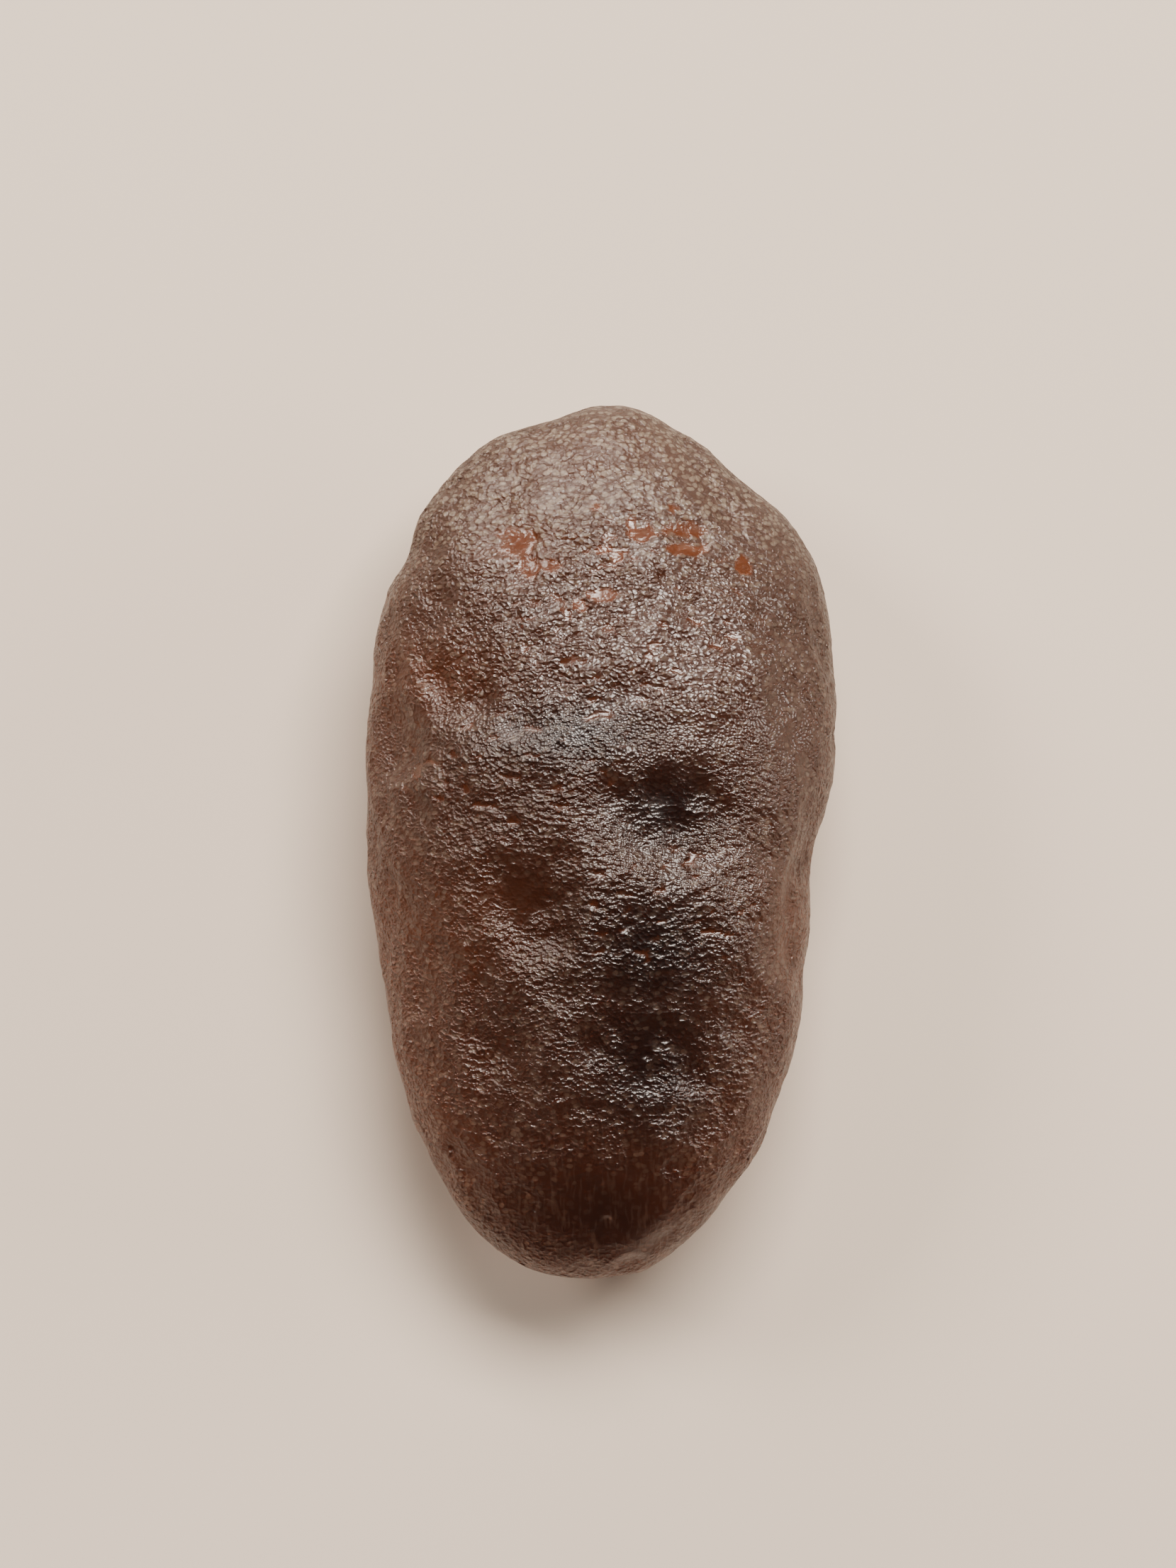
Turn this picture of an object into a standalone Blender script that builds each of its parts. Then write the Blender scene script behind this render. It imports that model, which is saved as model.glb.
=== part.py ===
# Colombianite: a natural pebble of smoky brown glass with an etched, hollowed skin.
#
# It lies on its belly with its more hollowed face up. +Y runs along it towards the blunt nose,
# +X runs across it and +Z is up. The origin is on the surface it rests on, below the middle of
# its box. Lengths in the tables are in millimetres, and the mesh is made in metres.

import math
import random
from collections import namedtuple

import bmesh
import bpy
import numpy as np
from mathutils import Vector, noise

MM = 0.001

# Driving dimensions: a plan like an egg, higher above its rim than below it.
HALF_LENGTH = 18.70
HALF_WIDTH = 10.02
RIM_HEIGHT = 6.40
CREST_RISE = 8.70
BELLY_DROP = 6.62

# Powers of the rounded block that the form starts from: 2 is an ellipse, more is boxier.
PLAN_POWER = 2.34
CREST_POWER = 2.10
BELLY_POWER = 2.20

# How the plan and the crest depart from that block.
NOSE_WIDENING = 0.145
LEAN = 0.30
BOW = 0.446
PLAN_CENTRE = (-0.44, -0.28)
CREST_OFFSET = 0.9
TAIL_CREST_OFFSET = 1.1
TAIL_CREST_GAIN = -0.12
TAIL_FROM = 0.0
TAIL_TO = 0.65

# Grid cells across, along and up the form: one cell is about 0.7 mm.
CELLS = (24, 44, 18)

# Swells of the outline: where round the plan in degrees from +X, how far out, over how many degrees.
Swell = namedtuple("Swell", "turn out spread")
SWELLS = (
    Swell(turn=0, out=-0.52, spread=8),
    Swell(turn=37, out=0.29, spread=7),
    Swell(turn=59, out=-0.44, spread=9),
    Swell(turn=87, out=0.56, spread=10),
    Swell(turn=138, out=-0.20, spread=4),
    Swell(turn=180, out=0.21, spread=8),
    Swell(turn=217, out=0.19, spread=4),
    Swell(turn=317, out=0.24, spread=5),
    Swell(turn=343, out=-0.32, spread=5),
)
RIM_HOLD = 4.0

# Hollows of the upper face: middle, radii across and along, depth, and how much deeper each is
# at its tail end than in the middle, as a share of its depth.
Hollow = namedtuple("Hollow", "x y across along depth tilt")
HOLLOWS = (
    Hollow(x=3.4, y=1.4, across=3.0, along=2.5, depth=0.66, tilt=0.60),
    Hollow(x=-2.9, y=-2.4, across=2.3, along=2.6, depth=0.56, tilt=0.65),
    Hollow(x=-4.5, y=-8.2, across=1.4, along=1.5, depth=0.34, tilt=0.60),
    Hollow(x=9.2, y=-2.6, across=1.8, along=3.4, depth=0.50, tilt=0.20),
    Hollow(x=4.9, y=-9.0, across=1.8, along=2.3, depth=0.32, tilt=0.40),
    Hollow(x=2.0, y=-6.6, across=3.0, along=4.2, depth=0.24, tilt=-0.20),
    Hollow(x=-8.8, y=4.6, across=1.7, along=2.0, depth=0.45, tilt=0.60),
    Hollow(x=-6.2, y=7.0, across=1.8, along=1.7, depth=0.42, tilt=0.65),
    Hollow(x=-8.2, y=-4.2, across=2.6, along=3.2, depth=0.34, tilt=0.30),
    Hollow(x=1.5, y=13.7, across=0.75, along=0.60, depth=0.10, tilt=0.90),
    Hollow(x=3.9, y=13.3, across=1.30, along=0.62, depth=0.12, tilt=0.90),
    Hollow(x=-3.8, y=13.0, across=1.3, along=1.0, depth=0.14, tilt=0.80),
    Hollow(x=1.6, y=5.8, across=2.4, along=1.4, depth=0.26, tilt=0.60),
    Hollow(x=0.5, y=10.6, across=1.8, along=1.3, depth=0.20, tilt=0.60),
)
WALL_POWER = 5.0

# Folds of the upper face: a ridge where height is above 0, a crease where it is below.
Fold = namedtuple("Fold", "path width height")
FOLDS = (
    Fold(path=((-8.4, 2.5), (0.1, 4.6), (6.2, 7.0)), width=1.1, height=0.24),
    Fold(path=((-0.7, -2.6), (-2.2, -10.8)), width=1.0, height=0.22),
    Fold(path=((3.0, 17.9), (3.8, 16.8), (5.5, 14.4)), width=0.8, height=-0.25),
)

# The underside and flanks carry hollows of the same kind, spread evenly round the lower half.
BELLY_HOLLOWS = 26
BELLY_SEED = 11
BELLY_RADIUS = (1.2, 2.7)
BELLY_DEPTH_SHARE = 0.17
GOLDEN_TURN = math.pi * (3 - math.sqrt(5))

# Even relief over the whole skin: soft lumps and, between them, shallow dimples.
LUMP_SPACING = 2.6
LUMP_HEIGHT = 0.16
DIMPLE_SPACING = 1.9
DIMPLE_DEPTH = 0.15
DIMPLE_REACH = 0.6

# Near the flat resting spot the relief dies out over this height, because that skin is worn.
WORN_HEIGHT = 1.2

GLASS_COLOUR = (0.105, 0.045, 0.034, 1.0)
GLASS_ROUGHNESS = 0.38
GLASS_IOR = 1.49
GLASS_TRANSMISSION = 0.75


def clear_scene():
    """Removes whatever the scene holds."""
    for thing in list(bpy.data.objects):
        bpy.data.objects.remove(thing, do_unlink=True)


def fade(value, start, end):
    """0 up to start, 1 from end on, and a smooth step between them."""
    t = np.clip((value - start) / (end - start), 0.0, 1.0)
    return t * t * (3 - 2 * t)


def runs_along(edge, axis):
    """Whether an edge of the box is parallel to an axis."""
    step = edge.verts[1].co - edge.verts[0].co
    return abs(step[axis]) > 0.99 * step.length


def gridded_box():
    """A box of half-size 1 whose faces are cut into the grid of cells."""
    box = bmesh.new()
    bmesh.ops.create_cube(box, size=2.0)
    for axis, cells in enumerate(CELLS):
        edges = [edge for edge in box.edges if runs_along(edge, axis)]
        bmesh.ops.subdivide_edges(box, edges=edges, cuts=cells - 1, use_grid_fill=True)
    return box


def unit_form(box_points):
    """The box's points moved out to a rounded block of half-size 1, with cells of even size."""
    spread = np.tan(box_points * math.pi / 4)
    way = np.abs(spread) / np.linalg.norm(spread, axis=1, keepdims=True)
    plan = way[:, 0] ** PLAN_POWER + way[:, 1] ** PLAN_POWER
    power = np.where(spread[:, 2] > 0, CREST_POWER, BELLY_POWER)
    reach = (plan ** (power / PLAN_POWER) + way[:, 2] ** power) ** (-1 / power)
    return np.sign(spread) * way * reach[:, None]


def plain_form(unit):
    """The pebble without its relief, in millimetres, from points of the unit form."""
    x, y, z = unit.T
    tail = fade(-y, TAIL_FROM, TAIL_TO)
    crest = (CREST_OFFSET + TAIL_CREST_OFFSET * tail) * np.clip(z, 0, 1) ** 2
    across = HALF_WIDTH * (1 + NOSE_WIDENING * y) * x + LEAN * y + BOW * (1 - y * y) + crest
    rise = np.where(z > 0, CREST_RISE * (1 + TAIL_CREST_GAIN * tail), BELLY_DROP)
    return np.column_stack(
        (across + PLAN_CENTRE[0], HALF_LENGTH * y + PLAN_CENTRE[1], rise * z + RIM_HEIGHT)
    )


def swelling(unit):
    """How far the outline's swells push the skin out, most at the rim and nothing on top."""
    turn = np.degrees(np.arctan2(unit[:, 1], unit[:, 0]))
    rim = (np.abs(unit[:, 0]) ** PLAN_POWER + np.abs(unit[:, 1]) ** PLAN_POWER) ** (1 / PLAN_POWER)
    total = np.zeros(len(unit))
    for swell in SWELLS:
        away = (turn - swell.turn + 180) % 360 - 180
        total += swell.out * np.exp(-((away / swell.spread) ** 2))
    return total * rim**RIM_HOLD


def bowl(points, middle, radii):
    """The depth share of a hollow with a flat bottom and a steep wall: 1 in the middle, 0 far out."""
    away = np.linalg.norm((points - middle) / radii, axis=1)
    return 1 / (1 + away**WALL_POWER)


def upper_hollows(plain, unit):
    """How far the hollows of the upper face go in: each is deepest under its wall towards the tail."""
    total = np.zeros(len(plain))
    upper = unit[:, 2] > -0.2
    for hollow in HOLLOWS:
        gap = np.hypot(plain[:, 0] - hollow.x, plain[:, 1] - hollow.y)
        middle = plain[np.argmin(np.where(upper, gap, np.inf))]
        radii = np.array((hollow.across, hollow.along, max(hollow.across, hollow.along)))
        slant = np.clip((hollow.y - plain[:, 1]) / hollow.along, -1, 1)
        total += hollow.depth * (1 + hollow.tilt * slant) * bowl(plain, middle, radii)
    return total


def belly_hollows(plain, unit):
    """How far the hollows round the lower half go in."""
    total = np.zeros(len(plain))
    chance = random.Random(BELLY_SEED)
    for k in range(BELLY_HOLLOWS):
        down = -(k + 0.5) / BELLY_HOLLOWS
        turn = k * GOLDEN_TURN + chance.uniform(-0.3, 0.3)
        flat = math.sqrt(1 - down * down)
        way = np.array((flat * math.cos(turn), flat * math.sin(turn), down))
        middle = plain[np.argmax(unit @ way)]
        radius = chance.uniform(*BELLY_RADIUS)
        radii = radius * np.array((1.0, chance.uniform(0.9, 1.4), 1.0))
        total += radius * BELLY_DEPTH_SHARE * bowl(plain, middle, radii)
    return total * fade(-unit[:, 2], -0.25, 0.1)


def distance_to_path(points, path):
    """Distance in plan from each point to a path of straight stretches."""
    nearest = np.full(len(points), np.inf)
    for start, end in zip(path, path[1:]):
        start, run = np.array(start), np.array(end) - np.array(start)
        share = np.clip((points[:, :2] - start) @ run / (run @ run), 0, 1)
        gap = np.linalg.norm(points[:, :2] - start - share[:, None] * run, axis=1)
        nearest = np.minimum(nearest, gap)
    return nearest


def folding(plain, unit):
    """How far the folds of the upper face stand out."""
    total = np.zeros(len(plain))
    for fold in FOLDS:
        total += fold.height * np.exp(-((distance_to_path(plain, fold.path) / fold.width) ** 2))
    return total * fade(unit[:, 2], 0.0, 0.3)


def lumps(plain):
    """Soft lumps over the whole skin."""
    return np.array([LUMP_HEIGHT * noise.noise(Vector(p) / LUMP_SPACING) for p in plain])


def dimples(plain):
    """Shallow dimples, one to a cell of a seeded cell pattern, and how far they go in."""
    nearest = np.array([noise.voronoi(Vector(p) / DIMPLE_SPACING)[0][0] for p in plain])
    return DIMPLE_DEPTH * (1 - fade(nearest, 0.1, DIMPLE_REACH))


def outward(mesh, points):
    """The outward direction at each point of the mesh when it has these points."""
    mesh.vertices.foreach_set("co", points.ravel())
    mesh.update()
    normals = np.empty(len(points) * 3)
    mesh.vertex_normals.foreach_get("vector", normals)
    return normals.reshape(-1, 3)


def carve(mesh):
    """Turns the gridded box into the pebble: its form, then its relief, then its resting spot."""
    box_points = np.empty(len(mesh.vertices) * 3)
    mesh.vertices.foreach_get("co", box_points)
    unit = unit_form(box_points.reshape(-1, 3))
    plain = plain_form(unit)
    out = swelling(unit) + folding(plain, unit) + lumps(plain)
    out -= upper_hollows(plain, unit) + belly_hollows(plain, unit) + dimples(plain)
    worn = fade(plain[:, 2], 0.0, WORN_HEIGHT)
    carved = plain + outward(mesh, plain) * (out * worn)[:, None]
    carved[:, 2] = np.maximum(carved[:, 2], 0.0)
    mesh.vertices.foreach_set("co", (carved * MM).ravel())
    mesh.update()


def etched_glass():
    """The pebble's smoky brown glass, frosted by etching."""
    material = bpy.data.materials.new("etched_brown_glass")
    material.use_nodes = True
    shader = material.node_tree.nodes["Principled BSDF"]
    shader.inputs["Base Color"].default_value = GLASS_COLOUR
    shader.inputs["Roughness"].default_value = GLASS_ROUGHNESS
    shader.inputs["IOR"].default_value = GLASS_IOR
    shader.inputs["Metallic"].default_value = 0.0
    shader.inputs["Transmission Weight"].default_value = GLASS_TRANSMISSION
    return material


def make_stone():
    """The whole pebble, one closed solid."""
    mesh = bpy.data.meshes.new("stone")
    box = gridded_box()
    box.to_mesh(mesh)
    box.free()
    carve(mesh)
    mesh.shade_smooth()
    mesh.materials.append(etched_glass())
    stone = bpy.data.objects.new("stone", mesh)
    bpy.context.scene.collection.objects.link(stone)
    return stone


clear_scene()
make_stone()
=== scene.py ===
# %% [markdown]
# # A colombianite pebble
#
# Colombianite is a natural glass, found as worn pebbles. Acid soil has etched its skin into
# hollows, scallops and pits, so the outside looks like fine leather, while the inside is clear
# and smoky brown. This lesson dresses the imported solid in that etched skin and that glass.

# %% Load the frame
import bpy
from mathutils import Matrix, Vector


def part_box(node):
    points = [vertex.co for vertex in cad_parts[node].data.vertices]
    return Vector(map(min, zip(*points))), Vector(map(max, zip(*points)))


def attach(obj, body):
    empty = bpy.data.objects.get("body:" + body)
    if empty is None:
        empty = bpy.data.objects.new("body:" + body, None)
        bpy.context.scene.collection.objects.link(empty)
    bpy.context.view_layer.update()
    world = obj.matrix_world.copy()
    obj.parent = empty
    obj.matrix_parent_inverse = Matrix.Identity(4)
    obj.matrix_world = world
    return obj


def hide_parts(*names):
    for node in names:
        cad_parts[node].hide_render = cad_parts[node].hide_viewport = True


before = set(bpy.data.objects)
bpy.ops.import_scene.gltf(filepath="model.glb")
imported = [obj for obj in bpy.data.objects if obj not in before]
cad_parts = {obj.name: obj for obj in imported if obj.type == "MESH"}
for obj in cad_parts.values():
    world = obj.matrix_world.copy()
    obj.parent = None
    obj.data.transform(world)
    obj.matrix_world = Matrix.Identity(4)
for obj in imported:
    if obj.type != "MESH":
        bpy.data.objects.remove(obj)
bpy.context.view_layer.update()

import math
import random
from collections import namedtuple

import bmesh
import bpy
import numpy as np
from mathutils import Vector, noise

MM = 0.001
low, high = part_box("stone")
size = (high - low) / MM
print("the solid measures", [round(side, 2) for side in size], "mm")

# %% [markdown]
# ## The plain form
#
# The pebble has an egg-shaped plan and a round section, higher above its rim than below it. A
# sphere made of rings would bunch its faces at two poles, and the pits would look different there,
# so the form starts as a box cut into a grid and is blown up into a rounded block. Its cells stay
# fairly even, and those of the upper face, which shows most, are half as wide. The sizes are
# shares of the solid's own box, because the swells stand out from the plain form and the hollows
# cut into it.

# %% Proportions of the form
HALF_LENGTH = size.y / 2 * 0.990
HALF_WIDTH = size.x / 2 * 0.988
RIM_HEIGHT = size.z * 0.428
CREST_RISE = size.z * 0.581
BELLY_DROP = RIM_HEIGHT * 1.034

# A power of 2 gives an oval, and a higher one gives a fuller, squarer curve.
PLAN_POWER = 2.34
CREST_POWER = 2.10
BELLY_POWER = 2.20

# The plan widens towards the nose, leans and bows. Its lengths are in millimetres.
NOSE_WIDENING = 0.145
LEAN = 0.30
BOW = 0.446
PLAN_CENTRE = (-0.44, -0.28)

# The crest stands to one side, and is lower and further over towards the tail.
CREST_OFFSET = 0.9
TAIL_CREST_OFFSET = 1.1
TAIL_CREST_GAIN = -0.12
TAIL_FROM = 0.0
TAIL_TO = 0.65
print("half sizes", round(HALF_WIDTH, 2), "by", round(HALF_LENGTH, 2), "mm")


# %% A grid of cells as fine as the pits need
# The side of a cell on the belly, in millimetres.
BELLY_CELL = 0.240
# The form narrows towards its ends, so a side takes fewer cells than its whole length would.
NARROWING = 0.80
CELLS = [round(side * NARROWING / BELLY_CELL) for side in size]
# Where the finer cells begin, on the box that reaches from -1 to 1.
FINE_FROM = -0.20
PARALLEL_SHARE = 0.99


def runs_along(edge, axis):
    step = edge.verts[1].co - edge.verts[0].co
    return abs(step[axis]) > PARALLEL_SHARE * step.length


def gridded_box(cells_by_axis):
    box = bmesh.new()
    bmesh.ops.create_cube(box, size=2.0)
    for axis, cells in enumerate(cells_by_axis):
        edges = [edge for edge in box.edges if runs_along(edge, axis)]
        bmesh.ops.subdivide_edges(box, edges=edges, cuts=cells - 1, use_grid_fill=True)
    upper_faces = [face for face in box.faces if face.calc_center_median().z > FINE_FROM]
    upper_edges = {edge for face in upper_faces for edge in face.edges}
    bmesh.ops.subdivide_edges(box, edges=list(upper_edges), cuts=1, use_grid_fill=True)
    return box


mesh = bpy.data.meshes.new("etched_pebble")
box = gridded_box(CELLS)
box.to_mesh(mesh)
box.free()
print("grid", CELLS, "gives", len(mesh.polygons), "faces")


# %% From the box to the form
def unit_form(box_points):
    """Points of the box moved out to a rounded block of half-size 1."""
    spread = np.tan(box_points * math.pi / 4)
    way = np.abs(spread) / np.linalg.norm(spread, axis=1, keepdims=True)
    plan = way[:, 0] ** PLAN_POWER + way[:, 1] ** PLAN_POWER
    power = np.where(spread[:, 2] > 0, CREST_POWER, BELLY_POWER)
    reach = (plan ** (power / PLAN_POWER) + way[:, 2] ** power) ** (-1 / power)
    return np.sign(spread) * way * reach[:, None]


def fade(value, start, end):
    """0 up to start, 1 from end on, and a smooth step between them."""
    t = np.clip((value - start) / (end - start), 0.0, 1.0)
    return t * t * (3 - 2 * t)


def plain_form(unit):
    """The pebble without its relief, in millimetres."""
    x, y, z = unit.T
    tail = fade(-y, TAIL_FROM, TAIL_TO)
    crest = (CREST_OFFSET + TAIL_CREST_OFFSET * tail) * np.clip(z, 0, 1) ** 2
    across = HALF_WIDTH * (1 + NOSE_WIDENING * y) * x + LEAN * y + BOW * (1 - y * y) + crest
    rise = np.where(z > 0, CREST_RISE * (1 + TAIL_CREST_GAIN * tail), BELLY_DROP)
    return np.column_stack(
        (across + PLAN_CENTRE[0], HALF_LENGTH * y + PLAN_CENTRE[1], rise * z + RIM_HEIGHT)
    )


box_points = np.empty(len(mesh.vertices) * 3)
mesh.vertices.foreach_get("co", box_points)
unit = unit_form(box_points.reshape(-1, 3))
plain = plain_form(unit)
print("plain form from", plain.min(axis=0).round(2), "to", plain.max(axis=0).round(2), "mm")

# %% [markdown]
# ## Swells of the outline
#
# Seen from above, the outline of the real pebble swells and narrows. A sculpting brush could push
# it out, but a short list of places is easier to correct. Each swell has its turn round the rim
# in degrees, how far it stands out in millimetres and its spread in degrees, and it dies out away
# from the rim. From here on the relief is gathered in one number per point, the way out along the
# normal.

# %% Swells of the outline
Swell = namedtuple("Swell", "turn out spread")
SWELLS = (
    Swell(turn=0, out=-0.52, spread=8),
    Swell(turn=37, out=0.29, spread=7),
    Swell(turn=59, out=-0.44, spread=9),
    Swell(turn=87, out=0.56, spread=10),
    Swell(turn=138, out=-0.20, spread=4),
    Swell(turn=180, out=0.21, spread=8),
    Swell(turn=217, out=0.19, spread=4),
    Swell(turn=317, out=0.24, spread=5),
    Swell(turn=343, out=-0.32, spread=5),
)
RIM_HOLD = 4.0


def swelling(unit):
    turn = np.degrees(np.arctan2(unit[:, 1], unit[:, 0]))
    rim = (np.abs(unit[:, 0]) ** PLAN_POWER + np.abs(unit[:, 1]) ** PLAN_POWER) ** (1 / PLAN_POWER)
    total = np.zeros(len(unit))
    for swell in SWELLS:
        away = (turn - swell.turn + 180) % 360 - 180
        total += swell.out * np.exp(-((away / swell.spread) ** 2))
    return total * rim**RIM_HOLD


out = swelling(unit)
print("swells reach from", out.min().round(2), "to", out.max().round(2), "mm")

# %% [markdown]
# ## Hollows of the upper face
#
# The upper face has fourteen hollows, from broad shallow ones to dents by the nose. Most are
# deepest towards the tail, where a steep wall catches the light. Cut with spheres, they would have
# a sharp edge all round, and a plain bell curve would look melted. So each is a bowl with a flat
# floor that ends in a steep, soft wall, and the floor is tilted. The hollows stand at the same
# places as in the solid, so the fine skin lies on the solid everywhere.

# %% Places of the hollows
Hollow = namedtuple("Hollow", "x y across along depth tilt")
HOLLOWS = (
    Hollow(x=3.4, y=1.4, across=3.0, along=2.5, depth=0.66, tilt=0.60),
    Hollow(x=-2.9, y=-2.4, across=2.3, along=2.6, depth=0.56, tilt=0.65),
    Hollow(x=-4.5, y=-8.2, across=1.4, along=1.5, depth=0.34, tilt=0.60),
    Hollow(x=9.2, y=-2.6, across=1.8, along=3.4, depth=0.50, tilt=0.20),
    Hollow(x=4.9, y=-9.0, across=1.8, along=2.3, depth=0.32, tilt=0.40),
    Hollow(x=2.0, y=-6.6, across=3.0, along=4.2, depth=0.24, tilt=-0.20),
    Hollow(x=-8.8, y=4.6, across=1.7, along=2.0, depth=0.45, tilt=0.60),
    Hollow(x=-6.2, y=7.0, across=1.8, along=1.7, depth=0.42, tilt=0.65),
    Hollow(x=-8.2, y=-4.2, across=2.6, along=3.2, depth=0.34, tilt=0.30),
    Hollow(x=1.5, y=13.7, across=0.75, along=0.60, depth=0.10, tilt=0.90),
    Hollow(x=3.9, y=13.3, across=1.30, along=0.62, depth=0.12, tilt=0.90),
    Hollow(x=-3.8, y=13.0, across=1.3, along=1.0, depth=0.14, tilt=0.80),
    Hollow(x=1.6, y=5.8, across=2.4, along=1.4, depth=0.26, tilt=0.60),
    Hollow(x=0.5, y=10.6, across=1.8, along=1.3, depth=0.20, tilt=0.60),
)
print(len(HOLLOWS), "hollows, down to", max(hollow.depth for hollow in HOLLOWS), "mm deep")

# %% Carve the upper face
WALL_POWER = 5.0
# A hollow's middle may lie this far below the rim, on the unit form.
HOLLOWS_FROM = -0.2


def bowl(points, middle, radii):
    """1 on a hollow's floor, falling steeply at its wall to 0."""
    away = np.linalg.norm((points - middle) / radii, axis=1)
    return 1 / (1 + away**WALL_POWER)


def upper_point(plain, unit, x, y, lowest):
    """The point of the form's upper side that lies nearest to this place in the plan."""
    gap = np.hypot(plain[:, 0] - x, plain[:, 1] - y)
    return plain[np.argmin(np.where(unit[:, 2] > lowest, gap, np.inf))]


def upper_hollows(plain, unit):
    """How deep the hollows are at each point. A tilt over 0 is deeper towards the tail."""
    total = np.zeros(len(plain))
    for hollow in HOLLOWS:
        middle = upper_point(plain, unit, hollow.x, hollow.y, HOLLOWS_FROM)
        radii = np.array((hollow.across, hollow.along, max(hollow.across, hollow.along)))
        slant = np.clip((hollow.y - plain[:, 1]) / hollow.along, -1, 1)
        total += hollow.depth * (1 + hollow.tilt * slant) * bowl(plain, middle, radii)
    return total


out -= upper_hollows(plain, unit)
print("with the hollows", out.min().round(2), "to", out.max().round(2), "mm")

# %% [markdown]
# ## Hollows of the lower half
#
# The belly and the lower flanks have hollows too, shallower and in no order. A list of places
# would add nothing here, so a loop spreads them. Turning on by the golden angle from one to the
# next leaves no rows and no bare places, and a fixed seed varies their turn, size and stretch.

# %% Hollows of the belly and flanks
BELLY_HOLLOWS = 26
BELLY_SEED = 11
BELLY_RADIUS = (1.2, 2.7)
BELLY_STRETCH = (0.9, 1.4)
BELLY_DEPTH_SHARE = 0.17
BELLY_FADE = (-0.25, 0.1)
GOLDEN_TURN = math.pi * (3 - math.sqrt(5))
TURN_SPREAD = 0.3


def belly_hollows(plain, unit):
    total = np.zeros(len(plain))
    chance = random.Random(BELLY_SEED)
    for k in range(BELLY_HOLLOWS):
        down = -(k + 0.5) / BELLY_HOLLOWS
        turn = k * GOLDEN_TURN + chance.uniform(-TURN_SPREAD, TURN_SPREAD)
        flat = math.sqrt(1 - down * down)
        way = np.array((flat * math.cos(turn), flat * math.sin(turn), down))
        middle = plain[np.argmax(unit @ way)]
        radius = chance.uniform(*BELLY_RADIUS)
        radii = radius * np.array((1.0, chance.uniform(*BELLY_STRETCH), 1.0))
        total += radius * BELLY_DEPTH_SHARE * bowl(plain, middle, radii)
    return total * fade(-unit[:, 2], *BELLY_FADE)


out -= belly_hollows(plain, unit)
print(BELLY_HOLLOWS, "hollows round the lower half")

# %% [markdown]
# ## Folds
#
# Two low ridges part the hollows of the upper face, and one crease runs down the nose. They could
# be strips of mesh of their own, but a path in the plan with a soft bell-shaped section needs no
# extra faces and leaves no seam.

# %% Folds: two ridges and a crease
Fold = namedtuple("Fold", "path width height")
FOLDS = (
    Fold(path=((-8.4, 2.5), (0.1, 4.6), (6.2, 7.0)), width=1.1, height=0.24),
    Fold(path=((-0.7, -2.6), (-2.2, -10.8)), width=1.0, height=0.22),
    Fold(path=((3.0, 17.9), (3.8, 16.8), (5.5, 14.4)), width=0.8, height=-0.25),
)
FOLD_FADE = (0.0, 0.3)


def distance_to_path(points, path):
    nearest = np.full(len(points), np.inf)
    for start, end in zip(path, path[1:]):
        start, run = np.array(start), np.array(end) - np.array(start)
        share = np.clip((points[:, :2] - start) @ run / (run @ run), 0, 1)
        gap = np.linalg.norm(points[:, :2] - start - share[:, None] * run, axis=1)
        nearest = np.minimum(nearest, gap)
    return nearest


def folding(plain, unit):
    total = np.zeros(len(plain))
    for fold in FOLDS:
        total += fold.height * np.exp(-((distance_to_path(plain, fold.path) / fold.width) ** 2))
    return total * fade(unit[:, 2], *FOLD_FADE)


out += folding(plain, unit)
print(len(FOLDS), "folds on the upper face")

# %% [markdown]
# ## Lumps and dimples
#
# Between the hollows the skin is never even. Soft lumps come from a smooth noise. Dimples come
# from a cell pattern, whose distance to the nearest cell middle makes a round bowl. A displace
# modifier could do the same, but reading both at each point keeps all the relief in one number.


# %% Lumps and dimples
def noise_field(points, spacing):
    """Smooth noise from -1 to 1 whose waves are about this many millimetres apart."""
    scaled = points / np.array(spacing)
    return np.array([noise.noise(Vector(p)) for p in scaled])


def cell_field(points, spacing):
    """Distance to the nearest cell middle, in cells of this many millimetres."""
    scaled = points / np.array(spacing)
    return np.array([noise.voronoi(Vector(p))[0][0] for p in scaled])


LUMP_SPACING = 2.6
LUMP_HEIGHT = 0.16
DIMPLE_SPACING = 1.9
DIMPLE_DEPTH = 0.15
DIMPLE_REACH = (0.1, 0.6)

out += LUMP_HEIGHT * noise_field(plain, LUMP_SPACING)
out -= DIMPLE_DEPTH * (1 - fade(cell_field(plain, DIMPLE_SPACING), *DIMPLE_REACH))
print("relief so far", out.min().round(2), "to", out.max().round(2), "mm")

# %% [markdown]
# ## Zones of the skin
#
# The etching isn't even. On the upper middle the scallops are deeper and run across the stone.
# The floors of the two big hollows and the tail stayed calm, the lower middle is quiet, and some
# places are more reddish than others. A darker tint is painted shade on the lower middle, the tail,
# the big hollow and a strip above it, where those faces turn from the light. The zones could be
# painted on the mesh, but a few soft oval patches, worked out once at each point, serve both the
# mesh and the finish.

# %% Where each zone lies
Patch = namedtuple("Patch", "x y across along")
COARSE = (
    Patch(x=1.2, y=9.0, across=5.0, along=4.5),
    Patch(x=-4.0, y=3.5, across=4.5, along=3.0),
    Patch(x=2.4, y=-2.6, across=4.5, along=2.5),
)
CALM = (
    Patch(x=2.9, y=1.7, across=2.1, along=1.6),
    Patch(x=-3.3, y=-2.1, across=1.9, along=1.5),
    Patch(x=0.8, y=-16.0, across=4.0, along=2.2),
)
QUIET = (
    Patch(x=1.8, y=-7.0, across=3.2, along=4.6),
    Patch(x=0.3, y=-16.0, across=6.0, along=3.6),
)
REDDISH = (
    Patch(x=-3.5, y=12.7, across=1.7, along=1.2),
    Patch(x=-6.6, y=7.2, across=2.2, along=1.5),
    Patch(x=-6.6, y=-3.6, across=3.4, along=2.8),
    Patch(x=8.4, y=-3.6, across=1.5, along=2.4),
)
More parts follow.
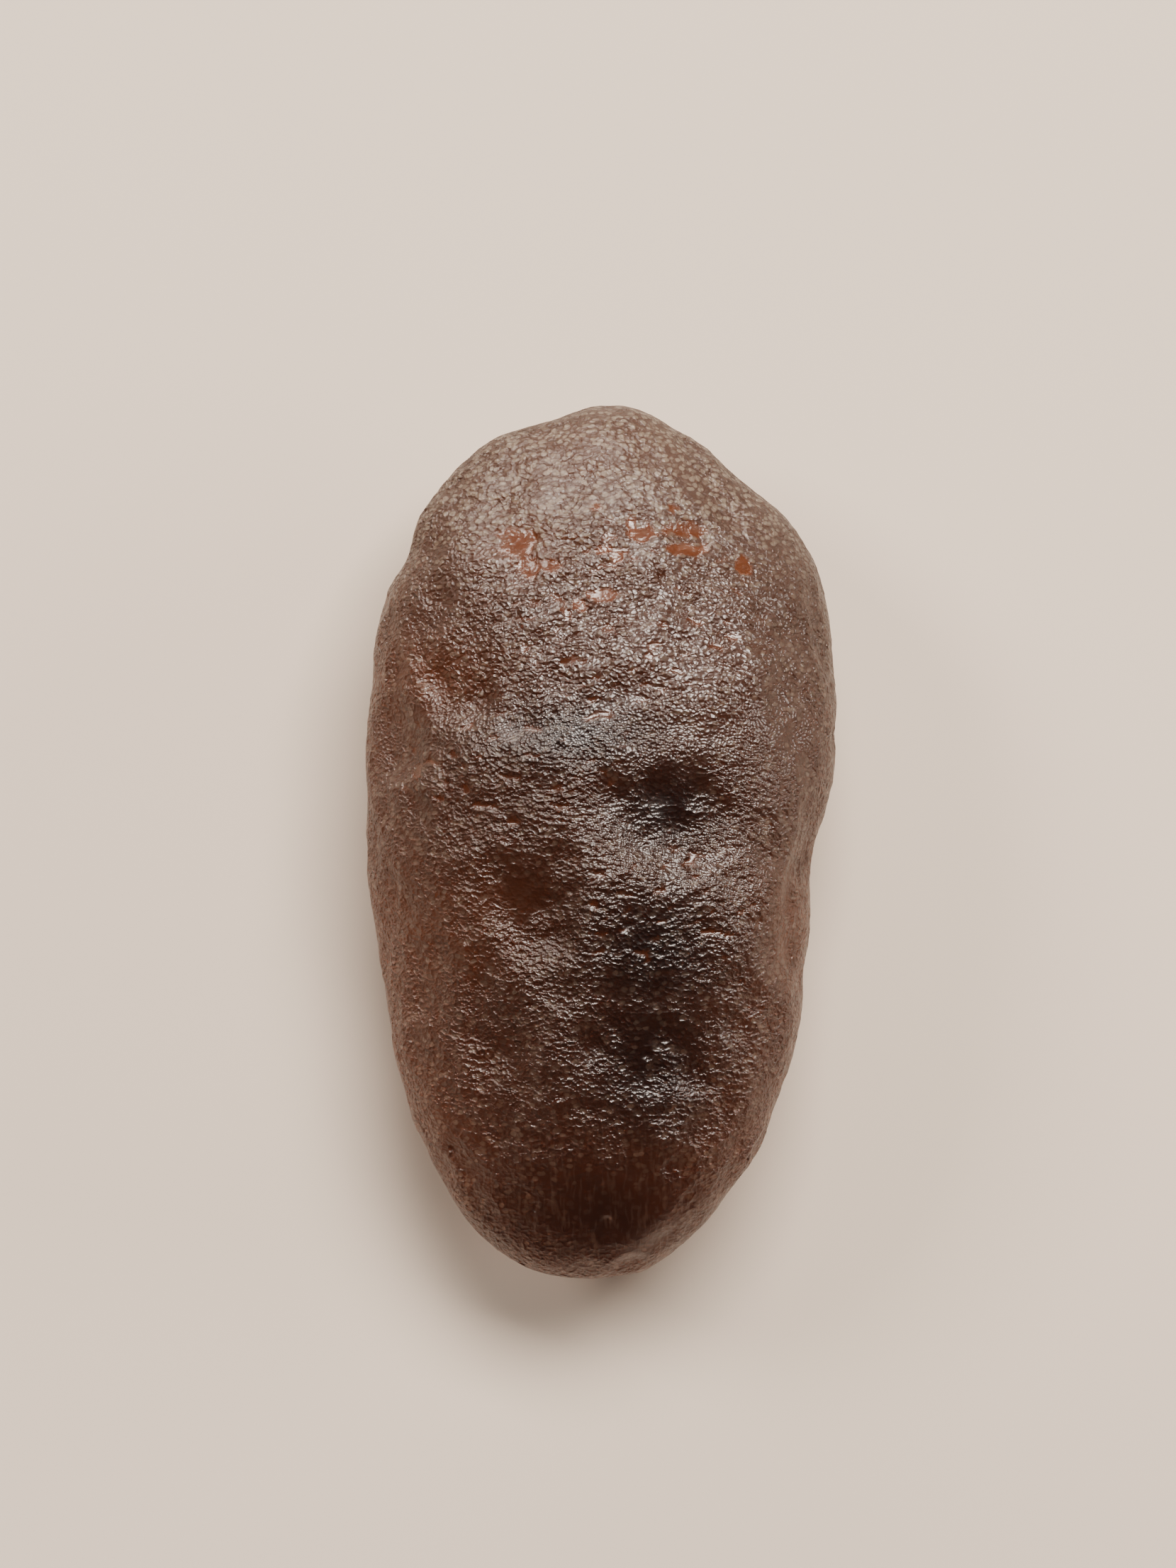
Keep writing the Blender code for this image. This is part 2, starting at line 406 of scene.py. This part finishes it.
# Painted shade: a darker tint where the lower middle, the tail and the big hollow turn from the light.
PAINTED_SHADE = (
    Patch(x=2.9, y=1.6, across=2.7, along=2.0),
    Patch(x=0.3, y=-16.5, across=8.0, along=3.6),
    Patch(x=2.4, y=-4.6, across=3.2, along=3.0),
    Patch(x=2.2, y=-9.5, across=3.2, along=3.8),
    Patch(x=-1.0, y=4.6, across=3.6, along=1.5),
)
ZONES = {"coarse": COARSE, "calm": CALM, "quiet": QUIET, "reddish": REDDISH, "smoky": PAINTED_SHADE}
print(len(ZONES), "zones of", sum(len(patches) for patches in ZONES.values()), "patches")

# %% Zones at each point
# The zones end just below the rim, on the unit form.
ZONE_FADE = (-0.1, 0.2)


def zone(plain, unit, patches):
    """1 in the middle of a patch, falling softly to 0 outside it."""
    total = np.zeros(len(plain))
    for patch in patches:
        x = (plain[:, 0] - patch.x) / patch.across
        y = (plain[:, 1] - patch.y) / patch.along
        total = np.maximum(total, np.exp(-(np.hypot(x, y) ** 2)))
    return total * fade(unit[:, 2], *ZONE_FADE)


coarse, calm, quiet, reddish, smoky = (zone(plain, unit, patches) for patches in ZONES.values())
print("coarse on", round(float((coarse > 0.5).mean()), 3), "of the skin")
print("smoky on", round(float((smoky > 0.5).mean()), 3), "of the skin")

# %% [markdown]
# ## Windows
#
# Where the frosted skin has come away, a smooth window shows the glass itself, orange brown, with
# a ragged edge. The large ones lie near the nose, each at its own place, and noise on the edges
# of their patches makes them ragged. Small lens-shaped gaps lie between the scallops of the upper
# middle. They are the peaks of a noise that is stretched across the stone.

# %% Where the windows lie
WINDOWS = (
    Patch(x=1.30, y=13.60, across=0.26, along=0.30),
    Patch(x=1.75, y=13.15, across=0.65, along=0.32),
    Patch(x=3.60, y=13.45, across=1.10, along=0.34),
    Patch(x=3.70, y=12.55, across=0.95, along=0.30),
    Patch(x=-3.60, y=12.90, across=0.95, along=0.65),
    Patch(x=-3.10, y=11.80, across=0.50, along=0.50),
    Patch(x=-2.10, y=11.80, across=0.55, along=0.26),
    Patch(x=-0.20, y=14.20, across=0.32, along=0.16),
    Patch(x=3.10, y=14.25, across=0.32, along=0.14),
    Patch(x=0.10, y=12.45, across=0.40, along=0.22),
    Patch(x=0.70, y=12.10, across=0.30, along=0.26),
    Patch(x=0.14, y=10.55, across=0.80, along=0.28),
    Patch(x=-0.85, y=10.10, across=0.32, along=0.32),
    Patch(x=6.10, y=11.80, across=0.36, along=0.42),
)
print(len(WINDOWS), "patches make the windows")

# %% Windows and lens-shaped gaps
RAGGED_SPACING = 0.45
RAGGED_SHARE = 0.30
WINDOW_EDGE = (0.32, 0.46)
LENS_SPACING = (0.75, 0.36, 0.50)
LENS_EDGE = (0.37, 0.47)
LENS_ZONE = (0.15, 0.5)

ragged = RAGGED_SHARE * noise_field(plain, RAGGED_SPACING)
windows = fade(zone(plain, unit, WINDOWS) + ragged, *WINDOW_EDGE)
lenses = fade(noise_field(plain, LENS_SPACING), *LENS_EDGE) * fade(coarse, *LENS_ZONE)
opened = np.maximum(windows, lenses)
print("open on", round(float((opened > 0.5).mean()), 4), "of the skin")

# %% [markdown]
# ## Etched scallops and pits
#
# Up close the skin is like leather: scallops of half a millimetre and more meet at sharp ridges,
# and rounder pits lie over them. Each is a shallow bowl, the squared distance to the middle of its
# cell, so that neighbours meet in a ridge. The mesh carries those that are wide enough for its
# cells, because a relief that shows should be real, and the finish carries the finer ones.

# %% Scallops and pits
SCALLOP_SPACING = (0.85, 0.48, 0.60)
SCALLOP_DEPTH = 0.078
PIT_SPACING = 0.52
PIT_DEPTH = 0.055
WINDOW_DEPTH = 0.04
# The share of their depth that the scallops have outside the coarse zone.
FINE_SHARE = 0.25
# The share of the pits' depth that the coarse zone lacks.
COARSE_PIT_LOSS = 0.5
# The shares of the etching that calm floors, windows and the quiet zone lack.
CALM_ETCH_LOSS = 0.75
WINDOW_ETCH_LOSS = 0.95
QUIET_ETCH_LOSS = 0.5

scallops = SCALLOP_DEPTH * cell_field(plain, SCALLOP_SPACING) ** 2 * (FINE_SHARE + coarse)
pits = PIT_DEPTH * cell_field(plain, PIT_SPACING) ** 2 * (1 - COARSE_PIT_LOSS * coarse)
etch_share = 1 - CALM_ETCH_LOSS * calm - WINDOW_ETCH_LOSS * opened * (1 - calm)
etch_share *= 1 - QUIET_ETCH_LOSS * quiet
out += (scallops + pits) * etch_share
out -= WINDOW_DEPTH * opened
print("etched relief", out.min().round(2), "to", out.max().round(2), "mm")

# %% [markdown]
# ## Bubble pits
#
# The glass held small gas bubbles, and where the etching has cut one open, a round pit is left.
# Two of them stand out and have their own places. The others are scattered by a fixed seed, so
# that every run gives the same stone.

# %% Bubble pits
PLACED_PITS = (
    Patch(x=1.97, y=-9.04, across=0.28, along=0.28),
    Patch(x=0.25, y=-16.17, across=0.26, along=0.26),
)
SCATTERED_PITS = 90
PIT_SEED = 5
PIT_RADIUS = (0.14, 0.28)
PIT_DEPTH_SHARE = 0.55


def round_pit(plain, middle, radius):
    away = np.linalg.norm(plain - middle, axis=1) / radius
    return radius * PIT_DEPTH_SHARE * np.clip(1 - away**2, 0, None)


def bubble_pits(plain, unit):
    total = np.zeros(len(plain))
    for pit in PLACED_PITS:
        middle = upper_point(plain, unit, pit.x, pit.y, lowest=0)
        total = np.maximum(total, round_pit(plain, middle, pit.across))
    chance = random.Random(PIT_SEED)
    for _ in range(SCATTERED_PITS):
        way = np.array([chance.gauss(0, 1) for _ in range(3)])
        middle = plain[np.argmax(unit @ (way / np.linalg.norm(way)))]
        total = np.maximum(total, round_pit(plain, middle, chance.uniform(*PIT_RADIUS)))
    return total


out -= bubble_pits(plain, unit)
print(len(PLACED_PITS), "bubble pits in their places and", SCATTERED_PITS, "scattered")

# %% [markdown]
# ## Scratches
#
# A few scratches are younger than the etching, so they cut through everything else. They are
# short paths with a narrow section, made with the same helper as the folds.

# %% Scratches
SCRATCHES = (
    ((-2.43, -2.27), (-1.90, -2.61), (-1.48, -3.17)),
    ((4.85, 1.58), (5.35, 1.80)),
    ((6.50, 1.72), (6.60, 2.22)),
    ((1.85, -0.78), (2.25, -1.05), (2.60, -0.75)),
    ((2.25, 11.90), (2.65, 11.18)),
)
# A real scratch is about 0.05 mm wide. Here it is as wide as the mesh's cells need.
SCRATCH_WIDTH = 0.10
SCRATCH_DEPTH = 0.08


def scratches(plain, unit):
    total = np.zeros(len(plain))
    for path in SCRATCHES:
        away = distance_to_path(plain, path) / SCRATCH_WIDTH
        total = np.maximum(total, SCRATCH_DEPTH * np.exp(-(away**2)))
    return total * (unit[:, 2] > 0)


out -= scratches(plain, unit)
print(len(SCRATCHES), "scratches", SCRATCH_DEPTH, "mm deep")

# %% [markdown]
# ## Move the skin out
#
# Each point moves along the plain form's own normal. Moving it straight up would stretch the
# flanks. The relief dies out just above the floor, where the belly has worn flat, and the lowest
# points are laid on the floor. That is the resting spot.

# %% The finished mesh
WORN_HEIGHT = 1.2


def outward(mesh, points):
    """The normals of the mesh with its points laid at these places."""
    mesh.vertices.foreach_set("co", points.ravel())
    mesh.update()
    normals = np.empty(len(points) * 3)
    mesh.vertex_normals.foreach_get("vector", normals)
    return normals.reshape(-1, 3)


facing = outward(mesh, plain)
carved = plain + facing * (out * fade(plain[:, 2], 0.0, WORN_HEIGHT))[:, None]
carved[:, 2] = np.maximum(carved[:, 2], 0.0)
mesh.vertices.foreach_set("co", (carved * MM).ravel())
mesh.update()
mesh.shade_smooth()
print("skin from", carved.min(axis=0).round(2), "to", carved.max(axis=0).round(2), "mm")
print("triangles", sum(len(face.vertices) - 2 for face in mesh.polygons))

# %% [markdown]
# ## Put the piece in the frame
#
# The pebble is one stone, so it is one piece on the one body. It stands for the imported solid,
# which stays unseen for collisions.

# %% Put the piece in the frame
pebble = bpy.data.objects.new("etched_pebble", mesh)
bpy.context.scene.collection.objects.link(pebble)
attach(pebble, "root")
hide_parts("stone")
print("piece", pebble.name, "stands for the solid")

# %% [markdown]
# ## How high the finest relief stands
#
# Two patterns are too fine for the mesh: scales of 0.2 to 0.4 mm, and a frost of about 0.15 mm.
# The finish draws both as a bump, and the frost is drawn a little coarser than the finest on the
# real stone, so that it shows in a render. Their height is worked out here at each point: more on
# the flanks, less on calm, open and quiet places, and uneven in patches. Towards the nose the
# scales turn over, from cups with sharp ridges into cobbles with dark cracks between them.

# %% Heights of the scales and the frost
SCALE_CELL = (0.29, 0.21, 0.44)
SCALE_STEEPNESS = 0.48
FROST_CELL = (0.16, 0.14, 0.22)
FROST_STEEPNESS = 0.50
PATCH_SPACING = 1.1
PATCH_EDGE = (-0.25, 0.25)
PATCH_LOW = 0.60
SMOOTH_LOSS = 0.8
QUIET_LOSS = 0.6
FLANK_TILT = (0.30, 0.75)
FLANK_GAIN = 1.2
COBBLED_ZONE = (2.0, 7.0)
COBBLE_TURN = 1.8

smooth_share = np.maximum(calm, opened)
patchy = fade(noise_field(plain, PATCH_SPACING), *PATCH_EDGE)
flank = fade(1 - np.abs(facing[:, 2]), *FLANK_TILT)
gain = (PATCH_LOW + (1 - PATCH_LOW) * patchy) * (1 + FLANK_GAIN * flank)
gain *= (1 - SMOOTH_LOSS * smooth_share) * (1 - QUIET_LOSS * quiet)
turn_over = 1 - COBBLE_TURN * fade(plain[:, 1], *COBBLED_ZONE)
scale_rise = min(SCALE_CELL) * SCALE_STEEPNESS * gain * turn_over
frost_rise = min(FROST_CELL) * FROST_STEEPNESS * gain
print("flanks are", round(float((flank > 0.5).mean()), 3), "of the skin")
print("scales stand", round(float(np.abs(scale_rise).mean()), 3), "mm high")
print("frost stands", round(float(frost_rise.mean()), 3), "mm high")

# %% [markdown]
# ## How rough the skin is
#
# Polished glass has a roughness near 0. Etching raises it to about 0.3, and to more on the
# frosted nose. Much lower values look wet, and much higher ones look like plain stone. Windows
# and calm floors are a little smoother, so they are the places with the clearest glints.

# %% Roughness at each point
SKIN_ROUGHNESS = 0.31
NOSE_ROUGHNESS = 0.42
CALM_ROUGHNESS = 0.29
WINDOW_ROUGHNESS = 0.26
NOSE_ZONE = (10.5, 14.5)

nose = fade(plain[:, 1], *NOSE_ZONE)
roughness = SKIN_ROUGHNESS + (NOSE_ROUGHNESS - SKIN_ROUGHNESS) * nose
roughness += (CALM_ROUGHNESS - roughness) * calm
roughness += (WINDOW_ROUGHNESS - roughness) * opened
print("roughness from", roughness.min().round(3), "to", roughness.max().round(3))

# %% [markdown]
# ## What the finish reads at each point
#
# The material needs to know where the zones lie. Masks made of nodes would be long, and slow to
# render, so the zones are kept on the mesh as named values, one per point, which the material
# reads. They follow the stone in every view.

# %% Values kept on the mesh
REDDISH_SHARE = 0.4
LENS_REDDISH = 0.5
STREAK_SHARE = 0.12
STREAK_ZONE = (8.0, 15.0)
# The share of pale scales, partly frost and partly painted glints, away from the nose, and what
# smooth places and the painted shade lack of them.
FROST_AND_GLINT_SHARE = 0.55
SMOOTH_FROST_GLINT_LOSS = 0.8
PAINTED_SHADE_FROST_GLINT_LOSS = 0.6

frost_and_glint = (FROST_AND_GLINT_SHARE + (1 - FROST_AND_GLINT_SHARE) * nose) * (1 - SMOOTH_FROST_GLINT_LOSS * smooth_share)
kept_values = {
    "roughness": roughness,
    "nose": nose,
    "reddish": np.maximum.reduce([REDDISH_SHARE * reddish, windows, LENS_REDDISH * lenses]),
    # Where the darker tint of the painted shade lies.
    "smoky": smoky,
    "streaky": STREAK_SHARE * fade(-plain[:, 1], *STREAK_ZONE),
    # Pale scales: frost at the nose, partly painted glints elsewhere.
    "frost_and_glint": frost_and_glint * (1 - PAINTED_SHADE_FROST_GLINT_LOSS * smoky),
    "scale_rise": scale_rise,
    "frost_rise": frost_rise,
}
for name, values in kept_values.items():
    field = mesh.attributes.new(name, "FLOAT", "POINT")
    field.data.foreach_set("value", values.astype(np.float32))
print(len(kept_values), "values kept at each of", len(plain), "points")

# %% [markdown]
# ## The glass
#
# The glass is clear inside and takes up blue and green light sooner than red, so it is amber where
# it is thin and nearly black-brown where it is thick. A painted colour would be the same at any
# depth, so volume absorption does it, which works on the length of the light's way through the
# stone.


# %% Helpers for colours and nodes
def linear(hex_colour):
    """An sRGB hex colour as linear RGBA."""
    parts = [int(hex_colour[i : i + 2], 16) / 255 for i in (1, 3, 5)]
    return [c / 12.92 if c <= 0.04045 else ((c + 0.055) / 1.055) ** 2.4 for c in parts] + [1.0]


def add_node(tree, kind, settings=None, links=None):
    """One node with its settings: names of properties, or names or numbers of sockets."""
    node = tree.nodes.new(kind)
    for name, value in (settings or {}).items():
        if isinstance(name, str) and hasattr(node, name):
            setattr(node, name, value)
        else:
            node.inputs[name].default_value = value
    for name, source in (links or {}).items():
        tree.links.new(source, node.inputs[name])
    return node


print("the middle grey #808080 is", round(linear("#808080")[0], 3), "in linear light")

# %% Natural glass, etched by acid soil
# The etched skin gives the eye many small glints instead of one clear highlight, and the clear
# glass below it gives depth. A natural volcanic glass has an IOR of 1.48 to 1.51 and is no metal.
GLASS_IOR = 1.49
GLASS_METALLIC = 0.0
# Nine tenths of the light that enters goes on through. The frosted skin scatters the rest.
CLEAR_SHARE = 0.90
GLASS_TINT = "#B68C6E"
GLASS_DENSITY = 70.0
SKIN_TINT = "#7A513E"
# The tint of the painted shade on places that turn from the light.
PAINTED_SHADE_TINT = "#432E27"
WINDOW_TINT = "#B26C46"
# Pale for frosted scales, for painted glints on scales away from the nose, and for flow streaks.
FROST_GLINT_AND_STREAK_TINT = "#D3C0AB"

glass = bpy.data.materials.new("etched_natural_glass")
glass.use_nodes = True
tree = glass.node_tree
tree.nodes.clear()
at_point = {
    name: add_node(tree, "ShaderNodeAttribute", {"attribute_name": name}).outputs["Fac"]
    for name in kept_values
}
taken_up = [round(GLASS_DENSITY * (1 - c) * MM, 3) for c in linear(GLASS_TINT)[:3]]
print("glass takes up", taken_up, "of red, green and blue per mm")

# %% [markdown]
# ## Scales and frost on the skin
#
# The finest relief is made of cells again, and the squared distance to a cell's middle is a cup,
# as on the mesh. Cells drawn straight would look like tiles, so the place of each point is first
# bent by a soft noise. The patterns run on the object's own coordinates, turned to millimetres,
# so their cells have real sizes.

# %% Where a point of the skin is, in millimetres
WARP_SPACING = 0.9
WARP_REACH = 0.26
WARP_DETAIL = 2.0

own_place = add_node(tree, "ShaderNodeTexCoord")
place = add_node(
    tree, "ShaderNodeVectorMath", {"operation": "SCALE", "Scale": 1 / MM},
    {0: own_place.outputs["Object"]},
)
bend = add_node(
    tree, "ShaderNodeTexNoise", {"Scale": 1 / WARP_SPACING, "Detail": WARP_DETAIL},
    {"Vector": place.outputs["Vector"]},
)
bent = add_node(
    tree, "ShaderNodeVectorMath", {"operation": "MULTIPLY_ADD", 1: [WARP_REACH] * 3},
    {0: bend.outputs["Color"], 2: place.outputs["Vector"]},
)
print("the patterns bend every", WARP_SPACING, "mm")


# %% Cups eaten into the skin
def etched_cups(cell, rise):
    """The cells of these sizes in millimetres, and the height of a cup in each."""
    scaled = add_node(
        tree, "ShaderNodeVectorMath", {"operation": "DIVIDE", 1: list(cell)},
        {0: bent.outputs["Vector"]},
    )
    cells = add_node(
        tree, "ShaderNodeTexVoronoi", {"feature": "F1", "Scale": 1.0},
        {"Vector": scaled.outputs["Vector"]},
    )
    squared = add_node(
        tree, "ShaderNodeMath", {"operation": "POWER", 1: 2.0}, {0: cells.outputs["Distance"]}
    )
    height = add_node(
        tree, "ShaderNodeMath", {"operation": "MULTIPLY"},
        {0: squared.outputs["Value"], 1: at_point[rise]},
    )
    return cells, height.outputs["Value"]


scale_cells, scale_height = etched_cups(SCALE_CELL, "scale_rise")
_, frost_height = etched_cups(FROST_CELL, "frost_rise")
etched = add_node(
    tree, "ShaderNodeMath", {"operation": "ADD"}, {0: scale_height, 1: frost_height}
)
skin_bump = add_node(
    tree, "ShaderNodeBump", {"Strength": 1.0, "Distance": MM}, {"Height": etched.outputs["Value"]}
)
print("scales", SCALE_CELL, "mm and frost", FROST_CELL, "mm")

# %% [markdown]
# ## Painted shade and reddish places
#
# The light that enters is tinted by the skin: brown as a rule, darker where shade is painted on the
# places that turn from the light, orange brown where a window lies open. One material with mixed
# tints keeps the edges soft, where separate materials would meet along the faces' edges.

# %% Painted shade and reddish tints
# The skin tint darkened by the painted shade.
shade_tinted = add_node(
    tree, "ShaderNodeMix", {"data_type": "RGBA", 6: linear(SKIN_TINT), 7: linear(PAINTED_SHADE_TINT)},
    {0: at_point["smoky"]},
)
tinted = add_node(
    tree, "ShaderNodeMix", {"data_type": "RGBA", 7: linear(WINDOW_TINT)},
    {0: at_point["reddish"], 6: shade_tinted.outputs[2]},
)
print("skin", SKIN_TINT, "smoky", PAINTED_SHADE_TINT, "window", WINDOW_TINT)

# %% [markdown]
# ## Pale scales: frost and painted glints
#
# Single scales are frosted pale, most of all at the nose. Away from the nose the pale scales are
# partly painted glints, which stand in for light that single scales catch. A separate noise wouldn't
# follow the scales' own edges, so the choice comes from the cell pattern, where each scale already
# has a random colour. A scale whose value is high turns pale, up to a dark crack round it.

# %% Pale scales: frost and painted glints
NOSE_FROST = 0.3
PALE_FROM, PALE_TO = 0.50, 0.88
CRACK_FROM, CRACK_TO = 0.62, 0.38

chance_here = add_node(
    tree, "ShaderNodeMath", {"operation": "MULTIPLY_ADD", 1: NOSE_FROST},
    {0: at_point["nose"], 2: scale_cells.outputs["Color"]},
)
frost_glint_scale = add_node(
    tree, "ShaderNodeMapRange", {"From Min": PALE_FROM, "From Max": PALE_TO},
    {"Value": chance_here.outputs["Value"]},
)
inside_crack = add_node(
    tree, "ShaderNodeMapRange", {"From Min": CRACK_FROM, "From Max": CRACK_TO},
    {"Value": scale_cells.outputs["Distance"]},
)
frost_glint = add_node(
    tree, "ShaderNodeMath", {"operation": "MULTIPLY"},
    {0: frost_glint_scale.outputs["Result"], 1: inside_crack.outputs["Result"]},
)
frost_glint_share = add_node(
    tree, "ShaderNodeMath", {"operation": "MULTIPLY"},
    {0: frost_glint.outputs["Value"], 1: at_point["frost_and_glint"]},
)
# Frost and painted glints turn single scales pale.
frost_glinted = add_node(
    tree, "ShaderNodeMix", {"data_type": "RGBA", 7: linear(FROST_GLINT_AND_STREAK_TINT)},
    {0: frost_glint_share.outputs["Value"], 6: tinted.outputs[2]},
)
print("a scale turns pale above", PALE_FROM)

# %% [markdown]
# ## Flow streaks at the tail
#
# The glass was drawn out while it was soft, and at the tail faint pale streaks run along the
# stone. A wave pattern would be too regular, so a noise draws them, whose waves are eleven times
# as long as they are wide.

# %% Flow streaks
STREAK_SPACING = (0.16, 1.8, 0.5)
STREAK_FROM, STREAK_TO = 0.52, 0.70

drawn_out = add_node(
    tree, "ShaderNodeVectorMath", {"operation": "DIVIDE", 1: list(STREAK_SPACING)},
    {0: bent.outputs["Vector"]},
)
streaks = add_node(
    tree, "ShaderNodeTexNoise", {"Scale": 1.0, "Detail": 1.0}, {"Vector": drawn_out.outputs["Vector"]}
)
streaked = add_node(
    tree, "ShaderNodeMapRange", {"From Min": STREAK_FROM, "From Max": STREAK_TO},
    {"Value": streaks.outputs["Fac"]},
)
streak_share = add_node(
    tree, "ShaderNodeMath", {"operation": "MULTIPLY"},
    {0: streaked.outputs["Result"], 1: at_point["streaky"]},
)
skin_colour = add_node(
    tree, "ShaderNodeMix", {"data_type": "RGBA", 7: linear(FROST_GLINT_AND_STREAK_TINT)},
    {0: streak_share.outputs["Value"], 6: frost_glinted.outputs[2]},
)
print("streaks about", STREAK_SPACING[0], "mm wide")

# %% [markdown]
# ## Skin and inside put together
#
# One glass shader has the surface: its transmission lets the light in, and its bump and roughness
# break up the glints. The absorption goes in the volume, so the depth of the brown follows the
# real thickness. The values that are the same all over stand on the shader's own sockets.

# %% The shader
skin = add_node(
    tree, "ShaderNodeBsdfPrincipled",
    {"IOR": GLASS_IOR, "Metallic": GLASS_METALLIC, "Transmission Weight": CLEAR_SHARE},
    {
        "Base Color": skin_colour.outputs[2], "Normal": skin_bump.outputs["Normal"],
        "Roughness": at_point["roughness"],
    },
)
inside = add_node(
    tree, "ShaderNodeVolumeAbsorption", {"Color": linear(GLASS_TINT), "Density": GLASS_DENSITY}
)
add_node(
    tree, "ShaderNodeOutputMaterial", None,
    {"Surface": skin.outputs["BSDF"], "Volume": inside.outputs["Volume"]},
)
mesh.materials.append(glass)
print("the glass is made of", len(tree.nodes), "nodes")

# %% [markdown]
# ## Floor
#
# The stone lies on plain pale paper. The sheet lies a hair below the resting spot, because two
# faces in one plane would leave the light no way between them and turn the spot black.

# %% Pale uncoated paper
# Uncoated paper is matt, so it gives the eye an even tone and a soft shadow.
FLOOR_SIDE = 3.0
FLOOR_GAP = 0.05 * MM
FLOOR_COLOUR = "#A69A8F"
PAPER_ROUGHNESS = 0.9

floor_mesh = bpy.data.meshes.new("floor")
reach = FLOOR_SIDE / 2
near_corners = [(-reach, -reach, -FLOOR_GAP), (reach, -reach, -FLOOR_GAP)]
far_corners = [(reach, reach, -FLOOR_GAP), (-reach, reach, -FLOOR_GAP)]
floor_mesh.from_pydata(near_corners + far_corners, [], [(0, 1, 2, 3)])
floor = bpy.data.objects.new("floor", floor_mesh)
bpy.context.scene.collection.objects.link(floor)

paper = bpy.data.materials.new("pale_uncoated_paper")
paper.use_nodes = True
sheet = paper.node_tree.nodes["Principled BSDF"]
sheet.inputs["Base Color"].default_value = linear(FLOOR_COLOUR)
sheet.inputs["Roughness"].default_value = PAPER_ROUGHNESS
floor_mesh.materials.append(paper)
print("floor", FLOOR_SIDE, "m square")

# %% [markdown]
# ## Light
#
# A glossy skin shows mostly what it mirrors, so each light stands where one part of the stone
# mirrors it. A large one stands high up beyond the nose, and its image lies on the upper middle. A
# long low one lights the nose. One more on each side gives the flanks their glints. A dim even
# room fills the rest.

# %% A soft light
MIDDLE = Vector((0.0, 0.0, size.z * 0.5 * MM))


def soft_light(name, away, tilt, aside, sides, power, colour="#FFF8F0"):
    """An oblong light aimed at the stone: tilt is degrees from straight above towards +Y."""
    lamp = bpy.data.lights.new(name, "AREA")
    lamp.shape = "RECTANGLE"
    lamp.size, lamp.size_y = sides
    lamp.energy = power
    lamp.color = linear(colour)[:3]
    stand = bpy.data.objects.new(name, lamp)
    angle = math.radians(tilt)
    way = Vector((aside, away * math.sin(angle), away * math.cos(angle)))
    stand.location = MIDDLE + way
    stand.rotation_euler = (-way).to_track_quat("-Z", "Y").to_euler()
    bpy.context.scene.collection.objects.link(stand)


print("lights aim", round(MIDDLE.z / MM, 2), "mm above the floor")

# %% Four lights and a dim room
ROOM_COLOUR = "#E8ECF2"
ROOM_STRENGTH = 0.10

soft_light("strip_box", away=0.55, tilt=28, aside=0.10, sides=(0.36, 0.20), power=8.0)
soft_light("nose_light", away=0.60, tilt=82, aside=-0.14, sides=(0.80, 0.16), power=7.0, colour="#FFF4EA")
soft_light("side_box", away=0.45, tilt=30, aside=-0.38, sides=(0.18, 0.18), power=2.2)
soft_light("far_box", away=0.20, tilt=30, aside=0.55, sides=(0.36, 0.18), power=2.6)

world = bpy.data.worlds.new("dim_room")
world.use_nodes = True
room = world.node_tree.nodes["Background"]
room.inputs["Color"].default_value = linear(ROOM_COLOUR)
room.inputs["Strength"].default_value = ROOM_STRENGTH
bpy.context.scene.world = world
print(len(bpy.data.lights), "soft lights and a dim room")

# %% [markdown]
# ## Camera
#
# The camera looks straight down, as in the photograph, from a quarter of a metre. The lens is
# worked out from how much the frame takes in at the height of the stone's rim. The camera stands
# a little off the middle, so that the stone sits in the frame where it does in the photograph.

# %% Camera
VIEW_HEIGHT = 68.0 * MM
CAMERA_AWAY = 0.25
SENSOR = 36.0
NEAREST = 0.01
CAMERA_OFFSET = (-0.54 * MM, 2.55 * MM)

camera = bpy.data.cameras.new("camera")
camera.sensor_fit = "VERTICAL"
camera.sensor_height = SENSOR
camera.lens = SENSOR * CAMERA_AWAY / VIEW_HEIGHT
camera.clip_start = NEAREST
eye = bpy.data.objects.new("camera", camera)
eye.location = (*CAMERA_OFFSET, RIM_HEIGHT * MM + CAMERA_AWAY)
bpy.context.scene.collection.objects.link(eye)
bpy.context.scene.camera = eye
bpy.context.scene.view_settings.view_transform = "AgX"
bpy.context.scene.view_settings.look = "AgX - Medium High Contrast"
print("lens", round(camera.lens, 1), "mm")
